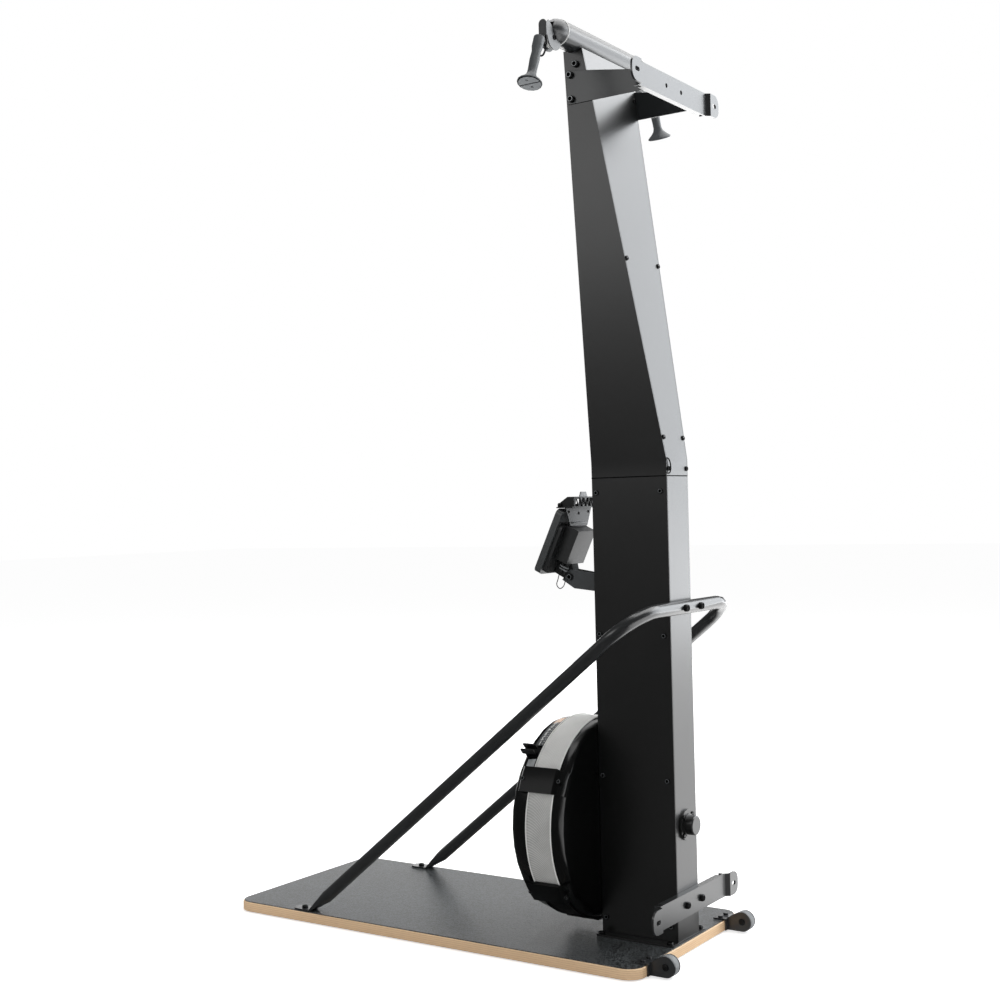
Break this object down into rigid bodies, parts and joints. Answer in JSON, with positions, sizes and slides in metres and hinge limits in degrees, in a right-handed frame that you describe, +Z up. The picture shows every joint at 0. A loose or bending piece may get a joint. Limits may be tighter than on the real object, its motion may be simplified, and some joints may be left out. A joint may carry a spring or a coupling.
{
  "type": "ski trainer machine",
  "caption": "Upright ski trainer on a floor deck: flared column, crossbar with swivelling cord pulleys and pull handles, caged air flywheel, tilting monitor, strut frame.",
  "frame": {"origin": "on the floor, under the middle of the whole machine", "axes": "+Z up, +Y from the user towards the wall side, +X to the user's right"},
  "size_m": [0.675, 1.265, 2.1748],
  "materials": {
    "black_coat": "satin powder coat",
    "grey_coat": "satin powder coat",
    "strut_coat": "satin powder coat",
    "shell_plastic": "smooth moulded",
    "dark_plastic": "fine moulded texture",
    "grip_rubber": "matt",
    "birch_ply": "sealed edge",
    "grip_sheet": "speckled grip surface",
    "zinc_steel": "zinc plated",
    "black_steel": "black coated",
    "wire_cloth": "woven wire",
    "nylon": "moulded",
    "cord": "braided",
    "glass": "display window",
    "tread_rubber": "matt"
  },
  "bodies": {
    "frame": {"deck_board": "birch_ply", "deck_grip": "grip_sheet", "base_flange": "black_coat", "lower_column": "black_coat", "side_panel_near": "black_coat", "side_panel_far": "black_coat", "splice_sleeve": "black_coat", "upper_column": "black_coat", "rear_cover": "black_coat", "crossbar": "grey_coat", "bearing_ring_near": "nylon", "bearing_ring_far": "nylon", "saddle_block": "black_steel", "arm_near": "black_coat", "arm_far": "black_coat", "upper_wall_bracket": "black_coat", "lower_wall_bracket": "black_coat", "strut_frame": "strut_coat", "drive_cord_near": "cord", "drive_cord_far": "cord", "drum_rear_shell": "shell_plastic", "drum_mesh": "wire_cloth", "drum_front_shell": "shell_plastic", "inlet_grille": "shell_plastic", "bearing_housing": "black_coat", "front_bearing": "zinc_steel", "rear_bearing": "zinc_steel", "monitor_arm": "black_coat", "wheel_bracket_near": "black_coat", "wheel_bracket_far": "black_coat"},
    "flywheel": {"flywheel_axle": "zinc_steel", "flywheel_fan": "shell_plastic"},
    "damper": {"damper_lever": "dark_plastic"},
    "spool_near": {"cord_spool_near": "nylon"},
    "spool_far": {"cord_spool_far": "nylon"},
    "idler_near": {"idler_pulley_near": "nylon"},
    "idler_far": {"idler_pulley_far": "nylon"},
    "swivel_near": {"swivel_cap_near": "grey_coat", "pulley_fork_near": "grey_coat", "cord_wrap_near": "cord"},
    "swivel_far": {"swivel_cap_far": "grey_coat", "pulley_fork_far": "grey_coat", "cord_wrap_far": "cord"},
    "pulley_near": {"end_pulley_near": "nylon"},
    "pulley_far": {"end_pulley_far": "nylon"},
    "grip_near": {"handle_near": "grip_rubber", "pull_cord_near": "cord"},
    "grip_far": {"handle_far": "grip_rubber", "pull_cord_far": "cord"},
    "monitor": {"monitor_shell": "dark_plastic", "monitor_housing": "dark_plastic", "screen_lens": "glass", "phone_holder": "dark_plastic", "sensor_lead": "cord"},
    "phone_clamp": {"phone_clamp": "grey_coat"},
    "button_1": {"monitor_button_1": "grip_rubber"},
    "button_2": {"monitor_button_2": "grip_rubber"},
    "button_3": {"monitor_button_3": "grip_rubber"},
    "wheel_near": {"wheel_near": "tread_rubber"},
    "wheel_far": {"wheel_far": "tread_rubber"}
  },
  "joints": [
    {"name": "swivel_near_turn", "type": "hinge", "parent": "frame", "child": "swivel_near", "pos_m": [0.1851, 0.3737, 2.14465], "axis": [-1, 0, 0], "range_deg": [-8, 40]},
    {"name": "handle_near_pull", "type": "slide", "parent": "swivel_near", "child": "grip_near", "axis": [0, 0, -1], "range_m": [0, 0.95], "stiffness_N_per_m": 14, "springref_m": -0.45, "deforming": ["pull_cord_near"]},
    {"name": "end_pulley_near_spin", "type": "hinge", "parent": "swivel_near", "child": "pulley_near", "pos_m": [0.2173, 0.3737, 2.12285], "axis": [0, 1, 0], "range_deg": [0, 2870]},
    {"name": "idler_near_spin", "type": "hinge", "parent": "frame", "child": "idler_near", "pos_m": [0.018, 0.3737, 2.1297], "axis": [0, 1, 0], "range_deg": [0, 3895]},
    {"name": "spool_near_spin", "type": "hinge", "parent": "frame", "child": "spool_near", "pos_m": [0, 0.4725, 0.296], "axis": [0, 1, 0], "range_deg": [-2180, 0]},
    {"name": "wheel_near_roll", "type": "hinge", "parent": "frame", "child": "wheel_near", "pos_m": [0.2, 0.6085, 0.0275], "axis": [1, 0, 0], "continuous": true},
    {"name": "swivel_far_turn", "type": "hinge", "parent": "frame", "child": "swivel_far", "pos_m": [-0.1851, 0.3737, 2.14465], "axis": [-1, 0, 0], "range_deg": [-8, 40]},
    {"name": "handle_far_pull", "type": "slide", "parent": "swivel_far", "child": "grip_far", "axis": [0, 0, -1], "range_m": [0, 0.95], "stiffness_N_per_m": 14, "springref_m": -0.45, "deforming": ["pull_cord_far"]},
    {"name": "end_pulley_far_spin", "type": "hinge", "parent": "swivel_far", "child": "pulley_far", "pos_m": [-0.2173, 0.3737, 2.12285], "axis": [0, 1, 0], "range_deg": [-2870, 0]},
    {"name": "idler_far_spin", "type": "hinge", "parent": "frame", "child": "idler_far", "pos_m": [-0.018, 0.3737, 2.1297], "axis": [0, 1, 0], "range_deg": [-3895, 0]},
    {"name": "spool_far_spin", "type": "hinge", "parent": "frame", "child": "spool_far", "pos_m": [0, 0.4405, 0.296], "axis": [0, 1, 0], "range_deg": [-2180, 0]},
    {"name": "wheel_far_roll", "type": "hinge", "parent": "frame", "child": "wheel_far", "pos_m": [-0.2, 0.6085, 0.0275], "axis": [1, 0, 0], "continuous": true},
    {"name": "flywheel_spin", "type": "hinge", "parent": "frame", "child": "flywheel", "pos_m": [0, 0.29, 0.296], "axis": [0, 1, 0], "continuous": true},
    {"name": "damper_turn", "type": "hinge", "parent": "frame", "child": "damper", "pos_m": [0, 0.2255, 0.296], "axis": [0, -1, 0], "range_deg": [0, 60]},
    {"name": "monitor_tilt", "type": "hinge", "parent": "frame", "child": "monitor", "pos_m": [0, 0.2695, 0.875], "axis": [1, 0, 0], "range_deg": [-10, 25]},
    {"name": "phone_clamp_lift", "type": "slide", "parent": "monitor", "child": "phone_clamp", "axis": [0, 0, 1], "range_m": [0, 0.018], "stiffness_N_per_m": 300, "springref_m": -0.01},
    {"name": "button_1_press", "type": "slide", "parent": "monitor", "child": "button_1", "axis": [0, 0.9026, -0.4305], "range_m": [0, 0.0015], "stiffness_N_per_m": 500, "springref_m": -0.002},
    {"name": "button_2_press", "type": "slide", "parent": "monitor", "child": "button_2", "axis": [0, 0.9026, -0.4305], "range_m": [0, 0.0015], "stiffness_N_per_m": 500, "springref_m": -0.002},
    {"name": "button_3_press", "type": "slide", "parent": "monitor", "child": "button_3", "axis": [0, 0.9026, -0.4305], "range_m": [0, 0.0015], "stiffness_N_per_m": 500, "springref_m": -0.002}
  ],
  "couplings": [
    {"joint": "end_pulley_near_spin", "follows": "handle_near_pull", "rad_per_m": 52.632},
    {"joint": "idler_near_spin", "follows": "handle_near_pull", "rad_per_m": 71.429},
    {"joint": "spool_near_spin", "follows": "handle_near_pull", "rad_per_m": -40},
    {"joint": "end_pulley_far_spin", "follows": "handle_far_pull", "rad_per_m": -52.632},
    {"joint": "idler_far_spin", "follows": "handle_far_pull", "rad_per_m": -71.429},
    {"joint": "spool_far_spin", "follows": "handle_far_pull", "rad_per_m": -40}
  ]
}
